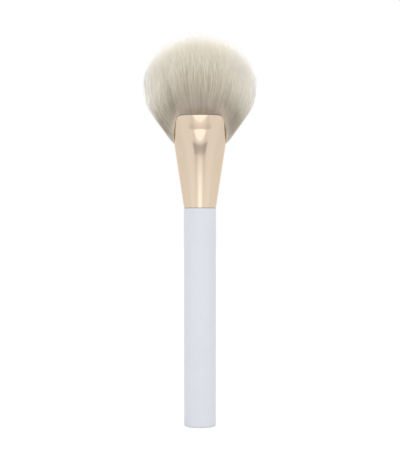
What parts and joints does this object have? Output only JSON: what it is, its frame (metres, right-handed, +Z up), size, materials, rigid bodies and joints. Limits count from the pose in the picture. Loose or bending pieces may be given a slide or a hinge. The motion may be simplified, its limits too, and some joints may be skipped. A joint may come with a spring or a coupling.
{
  "type": "makeup brush",
  "caption": "Large fluffy powder brush: straight round lacquered handle, flattened flared metal ferrule with side notches, and a wide domed tuft of soft tapered filaments.",
  "frame": {"origin": "centre of the handle's flat end face", "axes": "+Z up the brush from the handle's end to the tips of the tuft, X across the wide way of the tuft, -Y the front, as the picture shows it"},
  "size_m": [0.0507, 0.026, 0.1743],
  "materials": {
    "lacquered_wood": "satin pale lilac-white lacquer",
    "champagne_aluminium": "bright champagne gold anodised, drawn and pressed",
    "set_resin": "set clear epoxy",
    "filament": "soft tapered synthetic filament, taupe at the roots and cream at the tips"
  },
  "bodies": {
    "root": {"handle": "lacquered_wood", "ferrule": "champagne_aluminium", "handle_adhesive": "set_resin", "root_potting": "set_resin", "bristle_row_1": "filament", "bristle_row_2": "filament", "bristle_row_3": "filament", "bristle_row_4": "filament", "bristle_row_5": "filament", "bristle_row_6": "filament", "bristle_row_7": "filament"}
  },
  "joints": []
}
